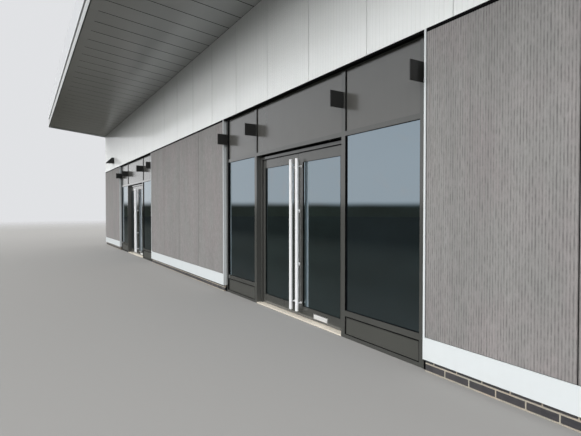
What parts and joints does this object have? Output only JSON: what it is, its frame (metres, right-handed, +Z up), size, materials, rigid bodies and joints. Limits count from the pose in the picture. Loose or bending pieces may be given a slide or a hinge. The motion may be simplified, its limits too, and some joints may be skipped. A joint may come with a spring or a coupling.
{
  "type": "supermarket building",
  "caption": "Single-storey supermarket with grey fluted cladding, a white upper band, glazed shopfronts with swing doors and a deep sloping canopy.",
  "frame": {"origin": "centre of the building's plan, canopy and rear gutter included, at ground level", "axes": "+X along the front to the right seen from outside, +Y from the entrances into the building, +Z up"},
  "size_m": [19.41, 14.22, 5.3539],
  "materials": {
    "fluted_panel": "matte",
    "inner_wall": "matte",
    "dark_brick": "matte",
    "floor_tiles": "satin",
    "white_trim": "satin",
    "white_band": "matte",
    "black_flashing": "matte",
    "soffit_board": "matte",
    "dark_channel": "matte",
    "fascia_panel": "satin",
    "structural_steel": "matte",
    "roof_sheet": "matte",
    "black_fitting": "satin",
    "frame_metal": "satin",
    "leaf_metal": "satin",
    "spandrel_metal": "satin",
    "low_panel_metal": "satin",
    "window_glass": "clear",
    "door_glass": "clear",
    "threshold_metal": "satin",
    "handle_tube": "satin",
    "letter_plate": "satin"
  },
  "bodies": {
    "building": {"floor_slab": "floor_tiles", "brick_plinth": "dark_brick", "front_wall_piers": "inner_wall", "front_wall_head": "inner_wall", "end_walls": "inner_wall", "rear_wall": "inner_wall", "front_panels": "fluted_panel", "end_panels": "fluted_panel", "rear_panels": "fluted_panel", "base_strip": "white_trim", "jamb_trims": "white_trim", "head_flashings": "black_flashing", "front_band": "white_band", "end_bands": "white_band", "rear_band": "white_band", "canopy_soffit": "soffit_board", "canopy_edge_trim": "white_trim", "canopy_channel": "dark_channel", "canopy_fascia": "fascia_panel", "canopy_cheeks": "white_band", "canopy_outriggers": "structural_steel", "roof_deck": "roof_sheet", "verge_trims": "white_trim", "rear_gutter": "white_trim", "downpipes": "white_trim", "wall_lights": "black_fitting", "shopfront_posts": "frame_metal", "shopfront_rails": "frame_metal", "spandrel_panels": "spandrel_metal", "low_panels": "low_panel_metal", "window_glass": "window_glass", "bracket_plates": "black_fitting", "door_frames": "frame_metal", "thresholds": "threshold_metal"},
    "left_shop_left_door": {"left_shop_left_leaf": "leaf_metal", "left_shop_left_glass": "door_glass", "left_shop_left_handle": "handle_tube"},
    "left_shop_right_door": {"left_shop_right_leaf": "leaf_metal", "left_shop_right_glass": "door_glass", "left_shop_right_handle": "handle_tube", "left_shop_letter_plate": "letter_plate"},
    "right_shop_left_door": {"right_shop_left_leaf": "leaf_metal", "right_shop_left_glass": "door_glass", "right_shop_left_handle": "handle_tube"},
    "right_shop_right_door": {"right_shop_right_leaf": "leaf_metal", "right_shop_right_glass": "door_glass", "right_shop_right_handle": "handle_tube", "right_shop_letter_plate": "letter_plate"}
  },
  "joints": [
    {"name": "left_shop_left_door_swing", "type": "hinge", "parent": "building", "child": "left_shop_left_door", "pos_m": [-5.564, -4.9475, 0.045], "axis": [0, 0, -1], "range_deg": [0, 90]},
    {"name": "left_shop_right_door_swing", "type": "hinge", "parent": "building", "child": "left_shop_right_door", "pos_m": [-3.686, -4.9475, 0.045], "axis": [0, 0, 1], "range_deg": [0, 90]},
    {"name": "right_shop_left_door_swing", "type": "hinge", "parent": "building", "child": "right_shop_left_door", "pos_m": [3.616, -4.9475, 0.045], "axis": [0, 0, -1], "range_deg": [0, 90]},
    {"name": "right_shop_right_door_swing", "type": "hinge", "parent": "building", "child": "right_shop_right_door", "pos_m": [5.494, -4.9475, 0.045], "axis": [0, 0, 1], "range_deg": [0, 90]}
  ]
}
